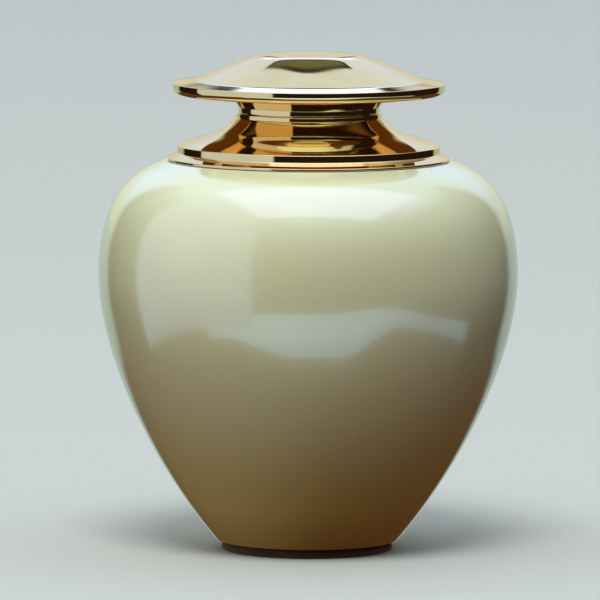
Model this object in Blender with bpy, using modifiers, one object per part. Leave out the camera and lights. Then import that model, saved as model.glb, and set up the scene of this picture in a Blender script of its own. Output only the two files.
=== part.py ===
"""Round cremation urn: lacquered metal vessel, polished neck flange, lift-off lid, foot pad.

Metres, +Z up. The origin is the centre of the foot pad's underside, on the urn's axis.
Every piece is turned about +Z from an outline of (radius, height) points.
"""
import math

import bmesh
import bpy
from mathutils import Vector

# Driving dimensions, in metres and degrees

TURN_STEPS = 40
SEAT_GAP = 0.0003           # between pieces that rest on each other

FOOT_RADIUS = 0.0390
FOOT_HEIGHT = 0.0040
FOOT_EDGE = 0.0008          # rounding of the pad's upper and lower edges

BODY_HEIGHT = 0.1747        # underside to the seat that carries the collar
BODY_WALL = 0.0020
BASE_OVERHANG = 0.0023      # the vessel's underside is this much wider than the pad
BELLY_RADIUS = 0.0960
BELLY_HEIGHT = 0.1227       # widest ring above the underside
MOUTH_RADIUS = 0.0500

RIM_RADIUS = 0.0600
FLANGE_WIDTH = 0.0046       # the collar's flange reaches this far past its rim
FLANGE_EDGE = 0.0009        # thickness of the flange's thin outer edge
SEAT_MARGIN = 0.0014        # the vessel's seat reaches this far past the flange
RIM_FOOT = 0.0032           # height at which the upright rim starts above the flange's underside
RIM_BAND = 0.0035
RIM_EDGE = 0.0006
FLARE_HEIGHT = 0.0128
NECK_BAND = 0.0021          # upright band that closes the flare at its top
NECK_RADIUS = 0.0332
COLLAR_WALL = 0.0022
THROAT_WALL = 0.0026
THROAT_LENGTH = 0.0140

PLUG_RADIUS = 0.0280
PLUG_CLEARANCE = 0.0004     # radial, in the collar's throat
PLUG_LENGTH = 0.0120
PLUG_WALL = 0.0025
PLUG_CHAMFER = 0.0008

LID_STEP = 0.0005           # the lid's neck is this much slimmer than the collar's
LID_NECK_STRAIGHT = 0.0004  # upright foot of the lid's neck, below its fillet
LID_NECK_FILLET = 0.0056
LID_WALL = 0.0022
LID_RADIUS = 0.0624
LID_EDGE_ROUND = 0.0003     # softens the corner between the brim and the edge band
LID_BAND = 0.00195          # upright outer edge
LID_ROLL_DROP = 0.00275     # the edge rolls under this far down and in
LID_ROLL_IN = 0.0030
UNDERSIDE_ANGLE = 4.5
BRIM_ANGLE = 8.0
BRIM_WIDTH = 0.0104
CONE_ANGLE = 23.6
CROWN_FLAT = 0.0160         # radius of the level disc on top
CROWN_ROUNDING = 0.0370
BEND_BLEND = 0.0028         # the cone runs out into the brim over this width
CAVITY_MARGIN = 0.0074      # solid metal left between the lid's hollow and its edge

# Shape of the vessel's two profile curves, as shares of each curve's own reach and height

SHOULDER_RISE = 0.84
SHOULDER_REACH = 0.205
SHOULDER_DROP = 0.06
FLANK_DROP = 0.275
FLANK_REACH = 0.605
FLANK_RISE = 0.318

# Shape of the collar's flare, in the same way

FLARE_OUT = 0.36
FLARE_DOWN = 0.74
FLARE_IN = 0.66
FLARE_UP = 0.50

# Sizes that follow from the dimensions

FLANGE_RADIUS = RIM_RADIUS + FLANGE_WIDTH
BODY_BASE = FOOT_HEIGHT + SEAT_GAP
BODY_SEAT = BODY_BASE + BODY_HEIGHT
COLLAR_BASE = BODY_SEAT + SEAT_GAP
RIM_TOP = COLLAR_BASE + RIM_FOOT + RIM_BAND
COLLAR_TOP = RIM_TOP + FLARE_HEIGHT + NECK_BAND
LID_BASE = COLLAR_TOP + SEAT_GAP
LID_NECK_HEIGHT = LID_NECK_STRAIGHT + LID_NECK_FILLET


def curve(start, near_start, near_end, end, steps):
    """Points along a cubic curve, both ends included."""
    points = []
    for step in range(steps + 1):
        t = step / steps
        s = 1.0 - t
        weights = (s ** 3, 3 * s * s * t, 3 * s * t * t, t ** 3)
        ends = (start, near_start, near_end, end)
        points.append(tuple(sum(w * p[i] for w, p in zip(weights, ends)) for i in (0, 1)))
    return points


def arc(centre, radius_across, radius_up, first, last, steps):
    """Points along an ellipse, from one angle to another in degrees; 0 points outward."""
    points = []
    for step in range(steps + 1):
        angle = math.radians(first + (last - first) * step / steps)
        points.append((centre[0] + radius_across * math.cos(angle),
                       centre[1] + radius_up * math.sin(angle)))
    return points


def inset(points, wall):
    """The outline moved by one wall thickness to its right-hand side, corner by corner."""
    moved = []
    for i, here in enumerate(points):
        here = Vector(here)
        before = Vector(points[max(i - 1, 0)])
        after = Vector(points[min(i + 1, len(points) - 1)])
        into = (here - before) if i else (after - here)
        out_of = (after - here) if i < len(points) - 1 else (here - before)
        into.normalize()
        out_of.normalize()
        side = Vector((into.y + out_of.y, -into.x - out_of.x))
        side.normalize()
        stretch = side.dot(Vector((out_of.y, -out_of.x)))
        moved.append(tuple(here + side * (wall / stretch)))
    return moved


def turned(name, outline, closed, material, collection):
    """A piece turned from an outline that runs down its outer side, top to bottom."""
    mesh = bpy.data.meshes.new(name)
    profile = bmesh.new()
    verts = [profile.verts.new((radius, 0.0, height)) for radius, height in outline]
    for first, second in zip(verts, verts[1:]):
        profile.edges.new((first, second))
    if closed:
        profile.edges.new((verts[-1], verts[0]))
    profile.to_mesh(mesh)
    profile.free()
    mesh.materials.append(material)
    piece = bpy.data.objects.new(name, mesh)
    collection.objects.link(piece)
    screw = piece.modifiers.new("Turn", "SCREW")
    screw.axis = "Z"
    screw.angle = math.tau
    screw.steps = TURN_STEPS
    screw.render_steps = TURN_STEPS
    screw.use_merge_vertices = True
    screw.merge_threshold = 0.00005
    screw.use_smooth_shade = True
    return piece


def shoulder_curve(steps):
    """Vessel outline from the collar's seat out to the belly."""
    seat_radius = FLANGE_RADIUS + SEAT_MARGIN
    belly = BODY_BASE + BELLY_HEIGHT
    reach = BELLY_RADIUS - seat_radius
    rise = BODY_SEAT - belly
    return curve((seat_radius, BODY_SEAT),
                 (seat_radius + SHOULDER_REACH * reach, BODY_SEAT - SHOULDER_DROP * rise),
                 (BELLY_RADIUS, belly + SHOULDER_RISE * rise),
                 (BELLY_RADIUS, belly), steps)


def flank_curve(steps):
    """Vessel outline from the belly down to its underside."""
    base_radius = FOOT_RADIUS + BASE_OVERHANG
    belly = BODY_BASE + BELLY_HEIGHT
    reach = BELLY_RADIUS - base_radius
    return curve((BELLY_RADIUS, belly),
                 (BELLY_RADIUS, belly - FLANK_DROP * BELLY_HEIGHT),
                 (base_radius + FLANK_REACH * reach, BODY_BASE + FLANK_RISE * BELLY_HEIGHT),
                 (base_radius, BODY_BASE), steps)


def body_outline():
    """Hollow vessel: in from the floor, up the inside, over the mouth and down the outside."""
    outside = [(MOUTH_RADIUS, BODY_SEAT)]
    outside += shoulder_curve(7)
    outside += flank_curve(10)[1:]
    outside.append((0.0, BODY_BASE))
    inside = inset(outside, BODY_WALL)
    inside[0] = (MOUTH_RADIUS, BODY_SEAT - BODY_WALL)
    inside[-1] = (0.0, BODY_BASE + BODY_WALL)
    return inside[::-1] + outside


def flare_curve(steps):
    """Collar outline from the neck band out to the top of the upright rim."""
    reach = RIM_RADIUS - RIM_EDGE - NECK_RADIUS
    top = RIM_TOP + FLARE_HEIGHT
    return curve((NECK_RADIUS, top),
                 (NECK_RADIUS + FLARE_OUT * reach, top - FLARE_DOWN * FLARE_HEIGHT),
                 (RIM_RADIUS - RIM_EDGE - FLARE_IN * reach, RIM_TOP + FLARE_UP * FLARE_HEIGHT),
                 (RIM_RADIUS - RIM_EDGE, RIM_TOP), steps)


def collar_outline():
    """Flanged neck: flare and rim outside, hollow underneath, with a sleeve for the plug."""
    throat = PLUG_RADIUS + PLUG_CLEARANCE
    sleeve = throat + THROAT_WALL
    sleeve_end = COLLAR_TOP - THROAT_LENGTH
    flare = flare_curve(8)
    outside = [(throat, COLLAR_TOP), (NECK_RADIUS, COLLAR_TOP)] + flare
    outside += arc((RIM_RADIUS - RIM_EDGE, RIM_TOP - RIM_EDGE), RIM_EDGE, RIM_EDGE, 60, 0, 2)
    outside += [(RIM_RADIUS, COLLAR_BASE + RIM_FOOT),
                (FLANGE_RADIUS, COLLAR_BASE + FLANGE_EDGE),
                (FLANGE_RADIUS, COLLAR_BASE)]
    rim_inside = RIM_RADIUS - COLLAR_WALL
    under = [point for point in inset(flare, COLLAR_WALL) if sleeve < point[0] < rim_inside]
    inside = [(rim_inside, COLLAR_BASE)] + [(rim_inside, under[-1][1])] + under[::-1]
    inside += [(sleeve, under[0][1]), (sleeve, sleeve_end), (throat, sleeve_end)]
    return outside + inside


def underside_height(radius):
    """Height of the lid's sloping underside at a radius, counted from the end of its fillet."""
    start = NECK_RADIUS - LID_STEP + LID_NECK_FILLET
    return LID_BASE + LID_NECK_HEIGHT + (radius - start) * math.tan(math.radians(UNDERSIDE_ANGLE))


def lid_edge_outline():
    """Lid from the end of its brim, over the upright band and under the roll."""
    roll_start = LID_RADIUS - LID_ROLL_IN
    band_foot = underside_height(roll_start) + LID_ROLL_DROP
    band_top = band_foot + LID_BAND
    corner = arc((LID_RADIUS - LID_EDGE_ROUND, band_top), LID_EDGE_ROUND, LID_EDGE_ROUND,
                 90 - BRIM_ANGLE, 0, 3)
    return corner + arc((roll_start, band_foot), LID_ROLL_IN, LID_ROLL_DROP, 0, -90, 5)


def lid_top_outline():
    """Lid from the centre of its crown, down the cone and out to the end of the brim."""
    cone = math.radians(CONE_ANGLE)
    brim = math.radians(BRIM_ANGLE)
    brim_end = lid_edge_outline()[0]
    brim_start = brim_end[0] - BRIM_WIDTH
    brim_height = brim_end[1] + BRIM_WIDTH * math.tan(brim)
    bend = brim_start - BEND_BLEND / 2
    bend_height = brim_height + BEND_BLEND / 2 * math.tan(brim)
    cone_end = bend - BEND_BLEND / 2
    cone_start = CROWN_FLAT + CROWN_ROUNDING * math.sin(cone)
    cone_top = bend_height + (bend - cone_start) * math.tan(cone)
    crown_centre = (CROWN_FLAT, cone_top - CROWN_ROUNDING * math.cos(cone))
    crown = arc(crown_centre, CROWN_ROUNDING, CROWN_ROUNDING, 90, 90 - CONE_ANGLE, 5)
    cone_foot = (cone_end, bend_height + (bend - cone_end) * math.tan(cone))
    blend = curve(cone_foot, (bend, bend_height), (bend, bend_height), (brim_start, brim_height), 3)
    return [(0.0, crown[0][1])] + crown + blend + [brim_end]


def lid_outline():
    """Hollow lid: over the top, round the edge, in to the plug and back up its inside."""
    neck = NECK_RADIUS - LID_STEP
    under = LID_BASE + LID_NECK_HEIGHT
    plug_end = LID_BASE - PLUG_LENGTH
    plug_inside = PLUG_RADIUS - PLUG_WALL
    cavity = LID_RADIUS - CAVITY_MARGIN
    top = lid_top_outline()
    outline = top[:-1] + lid_edge_outline()
    fillet_centre = (neck + LID_NECK_FILLET, under - LID_NECK_FILLET)
    outline += arc(fillet_centre, LID_NECK_FILLET, LID_NECK_FILLET, 90, 180, 3)
    outline += [(neck, LID_BASE),
                (PLUG_RADIUS, LID_BASE),
                (PLUG_RADIUS, plug_end + PLUG_CHAMFER),
                (PLUG_RADIUS - PLUG_CHAMFER, plug_end),
                (plug_inside, plug_end),
                (plug_inside, underside_height(plug_inside) + LID_WALL),
                (cavity, underside_height(cavity) + LID_WALL)]
    roof = inset(top, LID_WALL)
    brim_slope = math.tan(math.radians(BRIM_ANGLE))
    roof[0] = (0.0, top[0][1] - LID_WALL)
    roof[-1] = (cavity, roof[-2][1] - (cavity - roof[-2][0]) * brim_slope)
    return outline + roof[::-1]


def foot_outline():
    """Flat round pad with softened edges."""
    edge_radius = FOOT_RADIUS - FOOT_EDGE
    outline = [(0.0, FOOT_HEIGHT)]
    outline += arc((edge_radius, FOOT_HEIGHT - FOOT_EDGE), FOOT_EDGE, FOOT_EDGE, 90, 0, 2)
    outline += arc((edge_radius, FOOT_EDGE), FOOT_EDGE, FOOT_EDGE, 0, -90, 2)
    outline.append((0.0, 0.0))
    return outline


def make_material(name, colour, roughness, metallic, coat):
    """A plain surface with a colour, a roughness and an optional clear coat."""
    material = bpy.data.materials.new(name)
    material.use_nodes = True
    surface = material.node_tree.nodes["Principled BSDF"]
    surface.inputs["Base Color"].default_value = (*colour, 1.0)
    surface.inputs["Roughness"].default_value = roughness
    surface.inputs["Metallic"].default_value = metallic
    surface.inputs["Coat Weight"].default_value = coat
    material.diffuse_color = (*colour, 1.0)
    return material


def pearl_lacquer():
    return make_material("pearl_lacquer", (0.62, 0.61, 0.45), 0.30, 0.0, 1.0)


def polished_brass(name):
    return make_material(name, (0.80, 0.58, 0.24), 0.06, 1.0, 0.0)


def brown_felt():
    return make_material("brown_felt", (0.045, 0.022, 0.012), 0.95, 0.0, 0.0)


def clear_scene():
    for thing in list(bpy.data.objects):
        bpy.data.objects.remove(thing, do_unlink=True)


def build():
    clear_scene()
    collection = bpy.data.collections.new("cremation_urn")
    bpy.context.scene.collection.children.link(collection)
    turned("body", body_outline(), False, pearl_lacquer(), collection)
    turned("collar", collar_outline(), True, polished_brass("collar_brass"), collection)
    turned("lid", lid_outline(), False, polished_brass("lid_brass"), collection)
    turned("foot_pad", foot_outline(), False, brown_felt(), collection)


build()
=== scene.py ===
"""Studio scene for the round cremation urn: turned pieces, finishes, floor, light and camera.

Metres, +Z up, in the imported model's frame. Every piece is turned about +Z from an outline of
(radius, height) points that runs down its outer side.
"""

import math

import bpy
import numpy as np
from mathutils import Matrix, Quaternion, Vector


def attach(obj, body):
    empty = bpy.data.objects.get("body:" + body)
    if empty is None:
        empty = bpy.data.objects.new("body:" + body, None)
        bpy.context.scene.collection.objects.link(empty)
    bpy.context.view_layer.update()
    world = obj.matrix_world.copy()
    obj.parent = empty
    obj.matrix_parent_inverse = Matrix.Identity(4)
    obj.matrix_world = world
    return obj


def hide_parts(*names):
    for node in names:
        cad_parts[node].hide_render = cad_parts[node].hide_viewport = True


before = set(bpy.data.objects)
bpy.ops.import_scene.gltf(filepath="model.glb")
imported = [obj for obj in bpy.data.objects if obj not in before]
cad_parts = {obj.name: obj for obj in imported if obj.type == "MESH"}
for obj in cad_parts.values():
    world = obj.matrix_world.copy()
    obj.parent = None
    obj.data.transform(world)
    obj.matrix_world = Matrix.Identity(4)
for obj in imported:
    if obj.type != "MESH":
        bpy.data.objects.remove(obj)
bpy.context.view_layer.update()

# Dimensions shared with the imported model, in metres and degrees

SEAT_GAP = 0.0003

FOOT_RADIUS = 0.0390
FOOT_HEIGHT = 0.0040
FOOT_EDGE = 0.0008

BODY_HEIGHT = 0.1747
BODY_WALL = 0.0020
BASE_OVERHANG = 0.0023
BELLY_RADIUS = 0.0960
BELLY_HEIGHT = 0.1227
MOUTH_RADIUS = 0.0500

RIM_RADIUS = 0.0600
FLANGE_WIDTH = 0.0046
FLANGE_EDGE = 0.0009
SEAT_MARGIN = 0.0014
RIM_FOOT = 0.0032
RIM_BAND = 0.0035
RIM_EDGE = 0.0006
FLARE_HEIGHT = 0.0128
NECK_BAND = 0.0021
NECK_RADIUS = 0.0332
COLLAR_WALL = 0.0022
THROAT_WALL = 0.0026
THROAT_LENGTH = 0.0140

PLUG_RADIUS = 0.0280
PLUG_CLEARANCE = 0.0004
PLUG_LENGTH = 0.0120
PLUG_WALL = 0.0025
PLUG_CHAMFER = 0.0008

LID_WALL = 0.0022
LID_RADIUS = 0.0624
LID_ROLL_IN = 0.0030
UNDERSIDE_ANGLE = 4.5
CAVITY_MARGIN = 0.0074

SHOULDER_RISE = 0.84
SHOULDER_REACH = 0.205
SHOULDER_DROP = 0.06
FLANK_DROP = 0.275
FLANK_REACH = 0.605
FLANK_RISE = 0.318

FLARE_OUT = 0.36
FLARE_DOWN = 0.74
FLARE_IN = 0.66
FLARE_UP = 0.50

FLANGE_RADIUS = RIM_RADIUS + FLANGE_WIDTH
BODY_BASE = FOOT_HEIGHT + SEAT_GAP
BODY_SEAT = BODY_BASE + BODY_HEIGHT
COLLAR_BASE = BODY_SEAT + SEAT_GAP
RIM_TOP = COLLAR_BASE + RIM_FOOT + RIM_BAND
COLLAR_TOP = RIM_TOP + FLARE_HEIGHT + NECK_BAND
LID_BASE = COLLAR_TOP + SEAT_GAP

# Sizes that only the fine pieces have

TURN_SEGMENTS = 256
FINE_EDGE = 0.0003
SEAM_EDGE = 0.0006          # rounding of the collar's top edge, beside the lid's neck
LIP_EDGE = 0.0004           # rounding of the vessel's mouth
BASE_EDGE = 0.0007          # rounding of the vessel's underside

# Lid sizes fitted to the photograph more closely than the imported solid's

LID_STEP = 0.0008
LID_UNDERSIDE = 0.2093      # height of the lowest ring of the edge
LID_FLARE_HEIGHT = 0.0038   # the lid's neck spreads under the lid over this height
LID_FLARE_WIDTH = 0.0026
LID_FLARE_TOP_EDGE = 0.0008
LID_FLARE_FOOT_EDGE = 0.0001
LID_EDGE_ROUND = 0.0004
LID_BAND = 0.0015
LID_ROLL_DROP = 0.0032
BRIM_ANGLE = 8.5
BRIM_WIDTH = 0.0074
BEND_BLEND = 0.0026
CROWN_SLOPES = ((0.0, 0.0), (0.0150, 1.0), (0.0200, 5.0), (0.0235, 12.0), (0.0285, 19.3),
                (0.0395, 21.6), (0.0410, 22.0), (0.0624, 22.0))   # radius, degrees

# Camera, fitted to the photograph's view

CAMERA_DISTANCE = 4.122
CAMERA_HEIGHT = 0.531
CAMERA_SIDE = -0.0037
AIM_HEIGHT = 0.1146
CAMERA_LENS = 542.7
CAMERA_ROLL = 0.25


# Outlines

def curve(start, near_start, near_end, end, steps):
    """Points along a cubic curve, both ends included."""
    t = np.linspace(0.0, 1.0, steps + 1)[:, None]
    s = 1.0 - t
    corners = [np.array(point) for point in (start, near_start, near_end, end)]
    weights = (s ** 3, 3 * s * s * t, 3 * s * t * t, t ** 3)
    return [tuple(point) for point in sum(w * c for w, c in zip(weights, corners))]


def arc(centre, radius_across, radius_up, first, last, steps):
    """Points along an ellipse, from one angle to another in degrees; 0 points outward."""
    angles = np.radians(np.linspace(first, last, steps + 1))
    return [(centre[0] + radius_across * math.cos(a), centre[1] + radius_up * math.sin(a))
            for a in angles]


def inset(points, wall):
    """The outline moved by one wall thickness to its right-hand side, corner by corner."""
    here = np.array(points)
    steps = np.diff(here, axis=0)
    steps /= np.linalg.norm(steps, axis=1)[:, None]
    into = np.vstack([steps[:1], steps])
    out_of = np.vstack([steps, steps[-1:]])
    side = np.stack([into[:, 1] + out_of[:, 1], -into[:, 0] - out_of[:, 0]], axis=1)
    side /= np.linalg.norm(side, axis=1)[:, None]
    stretch = side[:, 0] * out_of[:, 1] - side[:, 1] * out_of[:, 0]
    return [tuple(point) for point in here + side * (wall / stretch)[:, None]]


def eased(before, corner, after, cut, steps=4):
    """A rounded corner between two neighbouring points, cut back by a distance both ways."""
    corner = Vector(corner)
    into = (Vector(before) - corner).normalized()
    out_of = (Vector(after) - corner).normalized()
    return curve(tuple(corner + into * cut), tuple(corner + into * cut * 0.45),
                 tuple(corner + out_of * cut * 0.45), tuple(corner + out_of * cut), steps)


def ease_corners(points, cuts):
    """The outline with some corners rounded; cuts gives how far by each corner's place."""
    count = len(points)
    result = []
    for i, here in enumerate(points):
        if i in cuts:
            before = points[(i - 1) % count]
            after = points[(i + 1) % count]
            result += eased(before, here, after, cuts[i])
        else:
            result.append(here)
    return result


def outline_normals(points, closed):
    """Outward normals at the outline's points; the longer neighbouring stretch counts more."""
    here = np.array(points)
    ahead = np.roll(here, -1, axis=0) - here
    if not closed:
        ahead[-1] = 0.0
    behind = np.roll(ahead, 1, axis=0)
    along = ahead * np.linalg.norm(ahead, axis=1)[:, None]
    along += behind * np.linalg.norm(behind, axis=1)[:, None]
    normals = np.stack([-along[:, 1], along[:, 0]], axis=1)
    return normals / np.linalg.norm(normals, axis=1)[:, None]


def turned(name, outline, closed, material, node):
    """A smooth piece turned from an outline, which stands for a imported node."""
    normals = outline_normals(outline, closed)
    angles = np.arange(TURN_SEGMENTS) * math.tau / TURN_SEGMENTS
    rings = []
    verts = []
    vert_normals = []
    for (radius, height), (out, up) in zip(outline, normals):
        if radius < 1e-7:
            rings.append([len(verts)] * TURN_SEGMENTS)
            verts.append((0.0, 0.0, height))
            vert_normals.append((0.0, 0.0, math.copysign(1.0, up)))
            continue
        rings.append(list(range(len(verts), len(verts) + TURN_SEGMENTS)))
        for a in angles:
            verts.append((radius * math.cos(a), radius * math.sin(a), height))
            vert_normals.append((out * math.cos(a), out * math.sin(a), up))
    faces = []
    pairs = list(zip(rings, rings[1:]))
    if closed:
        pairs.append((rings[-1], rings[0]))
    for upper, lower in pairs:
        for j in range(TURN_SEGMENTS):
            k = (j + 1) % TURN_SEGMENTS
            face = (upper[j], lower[j], lower[k], upper[k])
            faces.append(tuple(dict.fromkeys(face)))
    mesh = bpy.data.meshes.new(name)
    mesh.from_pydata(verts, [], faces)
    mesh.shade_smooth()
    mesh.normals_split_custom_set_from_vertices(vert_normals)
    mesh.materials.append(material)
    piece = bpy.data.objects.new(name, mesh)
    bpy.context.scene.collection.objects.link(piece)
    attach(piece, "root")
    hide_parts(node)
    return piece


def shoulder_curve(steps):
    """Vessel outline from the collar's seat out to the belly."""
    seat_radius = FLANGE_RADIUS + SEAT_MARGIN
    belly = BODY_BASE + BELLY_HEIGHT
    reach = BELLY_RADIUS - seat_radius
    rise = BODY_SEAT - belly
    return curve((seat_radius, BODY_SEAT),
                 (seat_radius + SHOULDER_REACH * reach, BODY_SEAT - SHOULDER_DROP * rise),
                 (BELLY_RADIUS, belly + SHOULDER_RISE * rise),
                 (BELLY_RADIUS, belly), steps)


def flank_curve(steps):
    """Vessel outline from the belly down to its underside."""
    base_radius = FOOT_RADIUS + BASE_OVERHANG
    belly = BODY_BASE + BELLY_HEIGHT
    reach = BELLY_RADIUS - base_radius
    return curve((BELLY_RADIUS, belly),
                 (BELLY_RADIUS, belly - FLANK_DROP * BELLY_HEIGHT),
                 (base_radius + FLANK_REACH * reach, BODY_BASE + FLANK_RISE * BELLY_HEIGHT),
                 (base_radius, BODY_BASE), steps)


def body_outline():
    """Hollow vessel: in from the floor, up the inside, over the mouth and down the outside."""
    wall_side = shoulder_curve(60) + flank_curve(90)[1:]
    outside = [(MOUTH_RADIUS, BODY_SEAT)] + wall_side
    base = (FOOT_RADIUS + BASE_OVERHANG, BODY_BASE)
    outside = outside[:-1] + eased(outside[-2], base, (0.0, BODY_BASE), BASE_EDGE)
    outside.append((0.0, BODY_BASE))
    coarse = [(MOUTH_RADIUS, BODY_SEAT)] + shoulder_curve(20) + flank_curve(30)[1:]
    inside = inset(coarse + [(0.0, BODY_BASE)], BODY_WALL)
    inside[0] = (MOUTH_RADIUS, BODY_SEAT - BODY_WALL)
    inside[-1] = (0.0, BODY_BASE + BODY_WALL)
    inside = inside[::-1]
    outline = inside + outside
    lip = len(inside)
    return ease_corners(outline, {lip - 1: LIP_EDGE, lip: LIP_EDGE})


def flare_curve(steps):
    """Collar outline from the neck band out to the top of the upright rim."""
    reach = RIM_RADIUS - RIM_EDGE - NECK_RADIUS
    top = RIM_TOP + FLARE_HEIGHT
    return curve((NECK_RADIUS, top),
                 (NECK_RADIUS + FLARE_OUT * reach, top - FLARE_DOWN * FLARE_HEIGHT),
                 (RIM_RADIUS - RIM_EDGE - FLARE_IN * reach, RIM_TOP + FLARE_UP * FLARE_HEIGHT),
                 (RIM_RADIUS - RIM_EDGE, RIM_TOP), steps)


def collar_outline():
    """Flanged neck: flare and rim outside, hollow underneath, with a sleeve for the plug."""
    throat = PLUG_RADIUS + PLUG_CLEARANCE
    sleeve = throat + THROAT_WALL
    sleeve_end = COLLAR_TOP - THROAT_LENGTH
    flare = flare_curve(72)
    rim_edge = arc((RIM_RADIUS - RIM_EDGE, RIM_TOP - RIM_EDGE), RIM_EDGE, RIM_EDGE, 60, 0, 6)
    rim_foot = (RIM_RADIUS, COLLAR_BASE + RIM_FOOT)
    flange_top = (FLANGE_RADIUS, COLLAR_BASE + FLANGE_EDGE)
    flange_base = (FLANGE_RADIUS, COLLAR_BASE)
    neck_top = (NECK_RADIUS, COLLAR_TOP)
    outside = eased(neck_top, (throat, COLLAR_TOP), (throat, sleeve_end), FINE_EDGE)[::-1]
    outside += eased((throat, COLLAR_TOP), neck_top, flare[0], SEAM_EDGE)
    outside += eased(neck_top, flare[0], flare[3], FINE_EDGE)
    outside += flare[3:] + rim_edge
    outside += eased(rim_edge[-1], rim_foot, flange_top, FINE_EDGE * 1.5)
    outside += eased(rim_foot, flange_top, flange_base, FINE_EDGE)
    outside += eased(flange_top, flange_base, (MOUTH_RADIUS, COLLAR_BASE), FINE_EDGE * 0.7)
    rim_inside = RIM_RADIUS - COLLAR_WALL
    under = [point for point in inset(flare[::4], COLLAR_WALL) if sleeve < point[0] < rim_inside]
    inside = [(rim_inside, COLLAR_BASE), (rim_inside, under[-1][1])] + under[::-1]
    inside += [(sleeve, under[0][1]), (sleeve, sleeve_end), (throat, sleeve_end)]
    return outside + inside


def underside_height(radius):
    """Height of the lid's underside, which slopes up towards its edge."""
    inward = LID_RADIUS - LID_ROLL_IN - radius
    return LID_UNDERSIDE - inward * math.tan(math.radians(UNDERSIDE_ANGLE))


def lid_edge_outline(corner_steps, roll_steps):
    """Lid from the end of its brim, over the upright band and under the roll."""
    roll_start = LID_RADIUS - LID_ROLL_IN
    band_foot = LID_UNDERSIDE + LID_ROLL_DROP
    band_top = band_foot + LID_BAND
    corner = arc((LID_RADIUS - LID_EDGE_ROUND, band_top), LID_EDGE_ROUND, LID_EDGE_ROUND,
                 90 - BRIM_ANGLE, 0, corner_steps)
    return corner + arc((roll_start, band_foot), LID_ROLL_IN, LID_ROLL_DROP, 0, -90, roll_steps)


def lid_top_outline(crown_steps, blend_steps):
    """Lid from the centre of its crown, down the cone and out to the end of the brim."""
    cone = math.radians(CROWN_SLOPES[-1][1])
    brim = math.radians(BRIM_ANGLE)
    brim_end = lid_edge_outline(3, 5)[0]
    brim_start = brim_end[0] - BRIM_WIDTH
    brim_height = brim_end[1] + BRIM_WIDTH * math.tan(brim)
    bend = brim_start - BEND_BLEND / 2
    bend_height = brim_height + BEND_BLEND / 2 * math.tan(brim)
    cone_end = bend - BEND_BLEND / 2
    crown = [(cone_end, bend_height + (bend - cone_end) * math.tan(cone))]
    radii = np.linspace(cone_end, 0.0, crown_steps + 1)
    slopes = np.tan(np.radians(np.interp(radii, *zip(*CROWN_SLOPES))))
    for i in range(crown_steps):
        rise = (radii[i] - radii[i + 1]) * (slopes[i] + slopes[i + 1]) / 2
        crown.append((radii[i + 1], crown[-1][1] + rise))
    bend_curve = curve(crown[0], (bend, bend_height), (bend, bend_height),
                       (brim_start, brim_height), blend_steps)
    return crown[::-1] + bend_curve[1:] + [brim_end]


def lid_outline():
    """Hollow lid: over the top, round the edge, in to the plug and back up its inside."""
    neck = NECK_RADIUS - LID_STEP
    plug_end = LID_BASE - PLUG_LENGTH
    plug_inside = PLUG_RADIUS - PLUG_WALL
    cavity = LID_RADIUS - CAVITY_MARGIN
    flare_top = (neck + LID_FLARE_WIDTH, underside_height(neck + LID_FLARE_WIDTH))
    flare_foot = (neck, flare_top[1] - LID_FLARE_HEIGHT)
    outline = lid_top_outline(110, 12)[:-1] + lid_edge_outline(8, 24)
    outline += eased(outline[-1], flare_top, flare_foot, LID_FLARE_TOP_EDGE)
    outline += eased(flare_top, flare_foot, (neck, LID_BASE), LID_FLARE_FOOT_EDGE)
    outline += eased(outline[-1], (neck, LID_BASE), (PLUG_RADIUS, LID_BASE), FINE_EDGE)
    outline += [(PLUG_RADIUS, LID_BASE),
                (PLUG_RADIUS, plug_end + PLUG_CHAMFER),
                (PLUG_RADIUS - PLUG_CHAMFER, plug_end),
                (plug_inside, plug_end),
                (plug_inside, underside_height(plug_inside) + LID_WALL),
                (cavity, underside_height(cavity) + LID_WALL)]
    top = lid_top_outline(20, 3)
    roof = inset(top, LID_WALL)
    brim_slope = math.tan(math.radians(BRIM_ANGLE))
    roof[0] = (0.0, top[0][1] - LID_WALL)
    roof[-1] = (cavity, roof[-2][1] - (cavity - roof[-2][0]) * brim_slope)
    return outline + roof[::-1]


def foot_outline():
    """Flat round pad with softened edges."""
    edge_radius = FOOT_RADIUS - FOOT_EDGE
    outline = [(0.0, FOOT_HEIGHT)]
    outline += arc((edge_radius, FOOT_HEIGHT - FOOT_EDGE), FOOT_EDGE, FOOT_EDGE, 90, 0, 6)
    outline += arc((edge_radius, FOOT_EDGE), FOOT_EDGE, FOOT_EDGE, 0, -90, 6)
    outline.append((0.0, 0.0))
    return outline


# Node helpers

def put(tree, kind, links=None, **settings):
    """A new node with its settings, and values or links for its inputs by name or place."""
    node = tree.nodes.new(kind)
    for key, value in settings.items():
        setattr(node, key, value)
    for key, value in (links or {}).items():
        socket = node.inputs[key]
        if isinstance(value, bpy.types.NodeSocket):
            tree.links.new(value, socket)
        else:
            socket.default_value = value
    return node


def sums(tree, operation, first, second=0.0, third=0.0):
    """A maths node's result."""
    node = put(tree, "ShaderNodeMath", {0: first, 1: second, 2: third}, operation=operation)
    return node.outputs[0]


def ramp(tree, value, low, high, to_low=0.0, to_high=1.0):
    """The value eased from one range to another, and held at its ends."""
    node = put(tree, "ShaderNodeMapRange",
               {"Value": value, "From Min": low, "From Max": high,
                "To Min": to_low, "To Max": to_high},
               interpolation_type="SMOOTHSTEP")
    return node.outputs["Result"]


def span(tree, value, low, high, soft):
    """1 between two limits and 0 outside them, with soft ends."""
    up = ramp(tree, value, low - soft / 2, low + soft / 2)
    down = ramp(tree, value, high - soft / 2, high + soft / 2, 1.0, 0.0)
    return sums(tree, "MULTIPLY", up, down)


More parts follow.
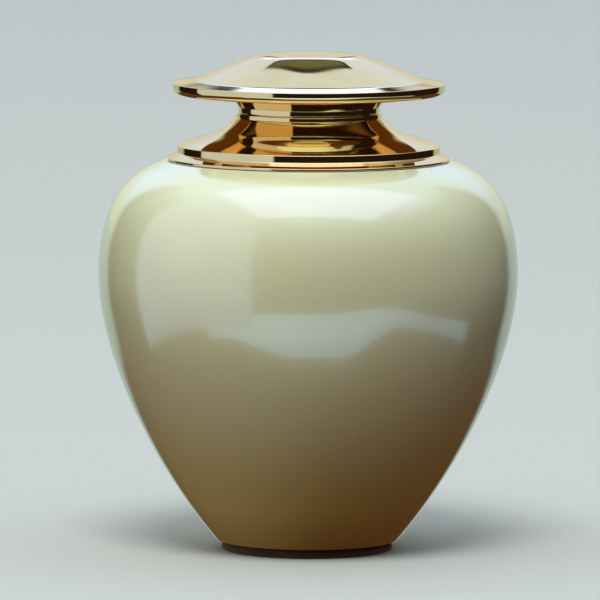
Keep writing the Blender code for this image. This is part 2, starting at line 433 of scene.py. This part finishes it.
def blend(tree, share, first, second):
    """Two colours mixed by a share between 0 and 1."""
    node = put(tree, "ShaderNodeMix", data_type="RGBA")
    for socket, value in ((node.inputs[0], share), (node.inputs[6], first),
                          (node.inputs[7], second)):
        if isinstance(value, bpy.types.NodeSocket):
            tree.links.new(value, socket)
        elif isinstance(value, tuple):
            socket.default_value = (*value, 1.0)
        else:
            socket.default_value = value
    return node.outputs[2]


def noise(tree, place, scale, detail=2.0, roughness=0.5):
    """A noise value around 0.5."""
    node = put(tree, "ShaderNodeTexNoise",
               {"Vector": place, "Scale": scale, "Detail": detail, "Roughness": roughness})
    return node.outputs[0]


def bumped(tree, height, distance):
    """A normal bumped by a height value, over a distance in metres."""
    node = put(tree, "ShaderNodeBump", {"Height": height, "Distance": distance, "Strength": 1.0})
    return node.outputs["Normal"]


def new_material(name, **inputs):
    """A material with its surface node, the tree and the object-space place."""
    material = bpy.data.materials.new(name)
    material.use_nodes = True
    tree = material.node_tree
    surface = tree.nodes["Principled BSDF"]
    for key, value in inputs.items():
        surface.inputs[key.replace("_", " ")].default_value = value
    place = tree.nodes.new("ShaderNodeTexCoord").outputs["Object"]
    return material, tree, surface, place


# Finishes

PEARL = (0.72, 0.735, 0.43)
PEARL_WARM = (0.74, 0.725, 0.40)
# The lower and foot colours are painted shade, standing in for shade falling on the lower flank
# and near the foot
PEARL_PAINTED_SHADE_LOW = (0.72, 0.67, 0.27)
PEARL_PAINTED_SHADE_FOOT = (0.52, 0.43, 0.15)
BRASS = (0.95, 0.69, 0.35)
BRASS_DEEP = (0.92, 0.64, 0.29)
FELT = (0.030, 0.014, 0.008)
FELT_LIGHT = (0.070, 0.038, 0.022)

PAINTED_SHADE_LOW_HEIGHTS = (0.020, 0.072)        # painted shade: the lacquer darkens to the lower colour down this stretch
PAINTED_SHADE_FOOT_HEIGHTS = (0.002, 0.026)       # and then to the darker, browner foot colour down this one, more painted shade


def pearl_lacquer():
    """Pearl lacquer under a clear coat: clouds, flakes, orange peel, and painted shade darkening
    it towards the foot.
    """
    material, tree, surface, place = new_material(
        "pearl_lacquer_fine", Roughness=0.20, IOR=2.0, Coat_Weight=1.0, Coat_Roughness=0.04,
        Coat_IOR=1.5)
    clouds = noise(tree, place, 14.0, 3.0)
    flakes = noise(tree, place, 1400.0, 1.0)
    share = sums(tree, "MULTIPLY_ADD", flakes, 0.35, sums(tree, "MULTIPLY", clouds, 0.6))
    colour = blend(tree, ramp(tree, share, 0.25, 0.75), PEARL, PEARL_WARM)
    height = put(tree, "ShaderNodeSeparateXYZ", {0: place}).outputs[2]
    # Painted shade: the lacquer darkens and browns towards the foot by height
    colour = blend(tree, ramp(tree, height, *PAINTED_SHADE_LOW_HEIGHTS, 1.0, 0.0), colour, PEARL_PAINTED_SHADE_LOW)
    colour = blend(tree, ramp(tree, height, *PAINTED_SHADE_FOOT_HEIGHTS, 1.0, 0.0), colour, PEARL_PAINTED_SHADE_FOOT)
    tree.links.new(colour, surface.inputs["Base Color"])
    tree.links.new(ramp(tree, clouds, 0.3, 0.7, 0.18, 0.23), surface.inputs["Roughness"])
    tree.links.new(bumped(tree, flakes, 0.000004), surface.inputs["Normal"])
    peel = noise(tree, place, 90.0, 1.0)
    tree.links.new(bumped(tree, peel, 0.00001), surface.inputs["Coat Normal"])
    return material


def polished_brass(name):
    """Polished brass: faint turning marks round the axis, and hazier patches from handling."""
    material, tree, surface, place = new_material(name, Metallic=1.0, Roughness=0.05)
    split = put(tree, "ShaderNodeSeparateXYZ", {0: place})
    across = put(tree, "ShaderNodeVectorMath",
                 {0: put(tree, "ShaderNodeCombineXYZ",
                         {0: split.outputs[0], 1: split.outputs[1]}).outputs[0]},
                 operation="LENGTH").outputs["Value"]
    rings = put(tree, "ShaderNodeCombineXYZ", {0: across, 2: split.outputs[2]}).outputs[0]
    marks = noise(tree, rings, 2500.0, 2.0)
    haze = noise(tree, place, 60.0, 4.0, 0.6)
    tree.links.new(blend(tree, ramp(tree, haze, 0.3, 0.8), BRASS, BRASS_DEEP),
                   surface.inputs["Base Color"])
    rough = sums(tree, "MULTIPLY_ADD", marks, 0.02, ramp(tree, haze, 0.35, 0.75, 0.03, 0.07))
    tree.links.new(rough, surface.inputs["Roughness"])
    tree.links.new(bumped(tree, marks, 0.0000006), surface.inputs["Normal"])
    return material


def brown_felt():
    """Pressed felt: matted fibres in two browns."""
    material, tree, surface, place = new_material(
        "brown_felt_fine", Roughness=0.95, Sheen_Weight=0.3, Sheen_Roughness=0.5)
    fibres = noise(tree, place, 2200.0, 4.0, 0.7)
    tufts = noise(tree, place, 320.0, 2.0)
    share = sums(tree, "MULTIPLY_ADD", tufts, 0.4, sums(tree, "MULTIPLY", fibres, 0.6))
    tree.links.new(blend(tree, ramp(tree, share, 0.35, 0.65), FELT, FELT_LIGHT),
                   surface.inputs["Base Color"])
    tree.links.new(ramp(tree, fibres, 0.3, 0.7, 0.88, 1.0), surface.inputs["Roughness"])
    tree.links.new(bumped(tree, share, 0.00015), surface.inputs["Normal"])
    return material


# Studio: what reflections see

ROOM = (0.016, 0.011, 0.007)
ROOM_GLOW = (0.42, 0.47, 0.45)
BACKDROP = (0.44, 0.56, 0.49)
HORIZON = (0.70, 0.68, 0.53)
CEILING = (0.71, 0.93, 1.26)
SOFTBOX = (1.55, 1.70, 2.65)
WINDOW = (0.60, 0.76, 0.98)
BAND = (0.85, 1.30, 1.65)
STRIP = (1.1, 1.5, 2.4)
PATCH = (0.15, 0.17, 0.10)
PATCH_EDGE = (0.030, 0.027, 0.005)
TABLE = (0.10, 0.045, 0.012)

# Light that shades the urn, from low to high

BOUNCE = (0.115, 0.047, 0.006)
BOUNCE_RIGHT = (0.050, 0.016, 0.001)
SKY = (1.0, 1.2, 1.36)
OVERHEAD = (0.65, 0.70, 0.85)

# What the camera sees behind the urn and under it

PLAIN = (0.565, 0.655, 0.615)
FLOOR = (0.54, 0.54, 0.465)

# Where the shapes in the reflections lie: degrees from the front or from behind, and up

DEG = math.radians(1.0)
WINDOW_MIDDLE = -72
WINDOW_SIDES = (-109, -31)
WINDOW_FOOT = (-24.5, -21.5)
WINDOW_TOP = 57
WINDOW_BOW = 70
BAND_SIDES = (-60, 104)
BAND_FOOT = (-35.5, -22.5)
BAND_TOP = -17.5
BAND_SOFT = 0.8
SOFTBOX_ACROSS = (-0.53, 0.73)      # on a level plane one unit overhead
SOFTBOX_ALONG = (-0.72, 0.29)
PATCH_HEIGHT = 37.3
PATCH_RADIUS = 9.9
PATCH_WIDTH = 8.6
STRIP_HEIGHTS = (18.5, 25)
STRIP_REACH = 6
DARK_SIDES = (1.8, 2.9)
BACKDROP_REACH = (32, 40)

FILL_SIZE = 5.0
FILL_AIM = (0.0, 0.0, 0.12)


def add_window(tree, colour, front, up):
    """A tall soft window to the left, with its upper edge bowed."""
    from_middle = sums(tree, "SUBTRACT", front, WINDOW_MIDDLE * DEG)
    bow = sums(tree, "MULTIPLY", sums(tree, "MULTIPLY", from_middle, from_middle),
               -1 / (WINDOW_BOW * DEG))
    top = sums(tree, "ADD", bow, WINDOW_TOP * DEG)
    below_top = ramp(tree, sums(tree, "SUBTRACT", up, top), -2 * DEG, 2 * DEG, 1.0, 0.0)
    across = span(tree, front, WINDOW_SIDES[0] * DEG, WINDOW_SIDES[1] * DEG, 3 * DEG)
    above = ramp(tree, up, WINDOW_FOOT[0] * DEG, WINDOW_FOOT[1] * DEG)
    inside = sums(tree, "MULTIPLY", sums(tree, "MULTIPLY", across, above), below_top)
    return blend(tree, inside, colour, WINDOW)


def add_front_band(tree, colour, front, up):
    """The pale ground in front of the table, between two wandering edges."""
    rise = ramp(tree, front, 20 * DEG, 56 * DEG, BAND_FOOT[0] * DEG, BAND_FOOT[1] * DEG)
    low = sums(tree, "ADD", rise, ramp(tree, front, -55 * DEG, -8 * DEG, 9 * DEG, 0.0))
    crest = sums(tree, "MULTIPLY", ramp(tree, front, 5 * DEG, 46 * DEG, 0.0, 3.5 * DEG),
                 ramp(tree, front, 46 * DEG, 80 * DEG, 1.0, 0.0))
    top = sums(tree, "ADD", crest, BAND_TOP * DEG)
    soft = BAND_SOFT * DEG
    above = ramp(tree, sums(tree, "SUBTRACT", up, low), -soft, soft)
    under = ramp(tree, sums(tree, "SUBTRACT", up, top), -soft, soft, 1.0, 0.0)
    across = span(tree, front, BAND_SIDES[0] * DEG, BAND_SIDES[1] * DEG, 6 * DEG)
    inside = sums(tree, "MULTIPLY", sums(tree, "MULTIPLY", above, under), across)
    fade = ramp(tree, front, 10 * DEG, 80 * DEG, 1.0, 0.55)
    return blend(tree, sums(tree, "MULTIPLY", inside, fade), colour, BAND)


def add_softbox(tree, colour, x, y, z):
    """A large soft light overhead, a rectangle on a level plane."""
    high = sums(tree, "MAXIMUM", z, 0.02)
    across = sums(tree, "DIVIDE", x, high)
    along = sums(tree, "DIVIDE", y, high)
    inside = sums(tree, "MULTIPLY", span(tree, across, *SOFTBOX_ACROSS, 0.08),
                  span(tree, along, *SOFTBOX_ALONG, 0.08))
    overhead = ramp(tree, z, 0.2, 0.3)
    return blend(tree, sums(tree, "MULTIPLY", inside, overhead), colour, SOFTBOX)


def add_patch(tree, colour, x, y, z, behind, up):
    """A dark opening with pointed ends high behind; below it a bright strip over two dark ones."""
    side = sums(tree, "DIVIDE", sums(tree, "ARCSINE", x), PATCH_WIDTH * DEG)
    rise = sums(tree, "SUBTRACT", sums(tree, "ARCTAN2", z, y), PATCH_HEIGHT * DEG)
    off = sums(tree, "ADD", sums(tree, "MULTIPLY", side, side),
               sums(tree, "DIVIDE", sums(tree, "ABSOLUTE", rise), PATCH_RADIUS * DEG))
    inner = blend(tree, ramp(tree, off, 0.72, 0.88, 1.0, 0.0), PATCH_EDGE, PATCH)
    colour = blend(tree, ramp(tree, off, 0.97, 1.03, 1.0, 0.0), colour, inner)
    beside = span(tree, sums(tree, "ABSOLUTE", behind), DARK_SIDES[0] * DEG,
                  DARK_SIDES[1] * DEG, 0.3 * DEG)
    low = sums(tree, "MULTIPLY", ramp(tree, up, 8 * DEG, 13 * DEG),
               ramp(tree, up, 18 * DEG, 19 * DEG, 1.0, 0.0))
    colour = blend(tree, sums(tree, "MULTIPLY", beside, low), colour, ROOM)
    strip = sums(tree, "MULTIPLY",
                 span(tree, behind, -STRIP_REACH * DEG, STRIP_REACH * DEG, 3 * DEG),
                 span(tree, up, STRIP_HEIGHTS[0] * DEG, STRIP_HEIGHTS[1] * DEG, 1 * DEG))
    return blend(tree, strip, colour, STRIP)


def make_world():
    """A room for reflections, a plainer light for shading, and one pale colour for the camera."""
    world = bpy.data.worlds.new("studio")
    bpy.context.scene.world = world
    world.use_nodes = True
    tree = world.node_tree
    tree.nodes.clear()
    out = tree.nodes.new("ShaderNodeOutputWorld")
    place = tree.nodes.new("ShaderNodeTexCoord").outputs["Generated"]
    split = put(tree, "ShaderNodeSeparateXYZ", {0: place})
    x, y, z = split.outputs
    front = sums(tree, "ARCTAN2", x, sums(tree, "MULTIPLY", y, -1.0))
    behind = sums(tree, "ARCTAN2", x, y)
    up = sums(tree, "ARCSINE", z)
    away = sums(tree, "ABSOLUTE", behind)

    colour = blend(tree, ramp(tree, up, 8 * DEG, 52 * DEG), ROOM, ROOM_GLOW)
    near = ramp(tree, away, BACKDROP_REACH[0] * DEG, BACKDROP_REACH[1] * DEG, 1.0, 0.0)
    colour = blend(tree, near, colour, BACKDROP)
    colour = blend(tree, sums(tree, "MULTIPLY", ramp(tree, up, 0.0, 4 * DEG), near),
                   colour, HORIZON)
    colour = blend(tree, sums(tree, "MULTIPLY", ramp(tree, up, 6 * DEG, 24 * DEG), near),
                   colour, CEILING)
    ceiling = sums(tree, "MULTIPLY", ramp(tree, up, 40 * DEG, 48 * DEG),
                   ramp(tree, away, 100 * DEG, 120 * DEG, 1.0, 0.35))
    colour = blend(tree, ceiling, colour, CEILING)
    ground = ramp(tree, away, 42 * DEG, 70 * DEG, -15 * DEG, -25 * DEG)
    below = ramp(tree, sums(tree, "SUBTRACT", up, ground), -2 * DEG, 2 * DEG, 1.0, 0.0)
    colour = blend(tree, below, colour, TABLE)
    colour = add_front_band(tree, colour, front, up)
    colour = add_window(tree, colour, front, up)
    colour = add_softbox(tree, colour, x, y, z)
    colour = add_patch(tree, colour, x, y, z, behind, up)

    path = put(tree, "ShaderNodeLightPath")
    shading = blend(tree, ramp(tree, front, 5 * DEG, 80 * DEG), BOUNCE, BOUNCE_RIGHT)
    shading = blend(tree, ramp(tree, up, 12 * DEG, 62 * DEG), shading, SKY)
    shading = blend(tree, ramp(tree, up, 58 * DEG, 70 * DEG), shading, OVERHEAD)
    colour = blend(tree, path.outputs["Is Diffuse Ray"], colour, shading)
    colour = blend(tree, path.outputs["Is Camera Ray"], colour, PLAIN)
    light = put(tree, "ShaderNodeBackground", {"Color": colour})
    tree.links.new(light.outputs[0], out.inputs["Surface"])


def make_floor():
    """A plain pale floor for the camera; reflections see the surroundings instead."""
    size = 12.0
    mesh = bpy.data.meshes.new("floor")
    mesh.from_pydata([(-size, -size, 0.0), (size, -size, 0.0), (size, size, 0.0),
                      (-size, size, 0.0)], [], [(0, 1, 2, 3)])
    floor = bpy.data.objects.new("floor", mesh)
    bpy.context.scene.collection.objects.link(floor)
    material, tree, surface, place = new_material("pale_floor", Roughness=0.9,
                                                  Specular_IOR_Level=0.1)
    cloud = noise(tree, place, 1.5, 2.0)
    tree.links.new(blend(tree, cloud, FLOOR, tuple(c * 1.03 for c in FLOOR)),
                   surface.inputs["Base Color"])
    mesh.materials.append(material)
    floor.visible_diffuse = False
    floor.visible_glossy = False


def aim(thing, at):
    """Turns a light or camera to look at a point."""
    towards = Vector(at) - thing.location
    thing.rotation_mode = "QUATERNION"
    thing.rotation_quaternion = towards.to_track_quat("-Z", "Y")


def make_fill(name, place, power, colour):
    """A soft light that shades the urn without showing in its reflections."""
    light = bpy.data.lights.new(name, "AREA")
    light.shape = "DISK"
    light.size = FILL_SIZE
    light.energy = power
    light.color = colour
    thing = bpy.data.objects.new(name, light)
    thing.location = place
    thing.visible_glossy = False
    thing.visible_camera = False
    aim(thing, FILL_AIM)
    bpy.context.scene.collection.objects.link(thing)


def make_camera():
    """A long lens from the photograph's side, height and slight roll."""
    data = bpy.data.cameras.new("camera")
    data.lens = CAMERA_LENS
    data.sensor_width = 36.0
    data.clip_start = 0.1
    data.clip_end = 100.0
    camera = bpy.data.objects.new("camera", data)
    camera.location = (CAMERA_SIDE, -CAMERA_DISTANCE, CAMERA_HEIGHT)
    aim(camera, (CAMERA_SIDE, 0.0, AIM_HEIGHT))
    camera.rotation_quaternion @= Quaternion((0.0, 0.0, 1.0), math.radians(CAMERA_ROLL))
    bpy.context.scene.collection.objects.link(camera)
    bpy.context.scene.camera = camera


make_camera()
make_world()
make_floor()
make_fill("fill_front", (-0.6, -6.35, 10.2), 810.0, (0.97, 1.02, 1.08))
make_fill("fill_left", (-11.3, -3.0, 2.6), 290.0, (0.97, 1.0, 1.0))

turned("vessel", body_outline(), False, pearl_lacquer(), "body")
turned("neck_flange", collar_outline(), True, polished_brass("brass_flange"), "collar")
turned("lift_off_lid", lid_outline(), False, polished_brass("brass_lid"), "lid")
turned("foot", foot_outline(), False, brown_felt(), "foot_pad")

bpy.context.scene.view_settings.view_transform = "Standard"
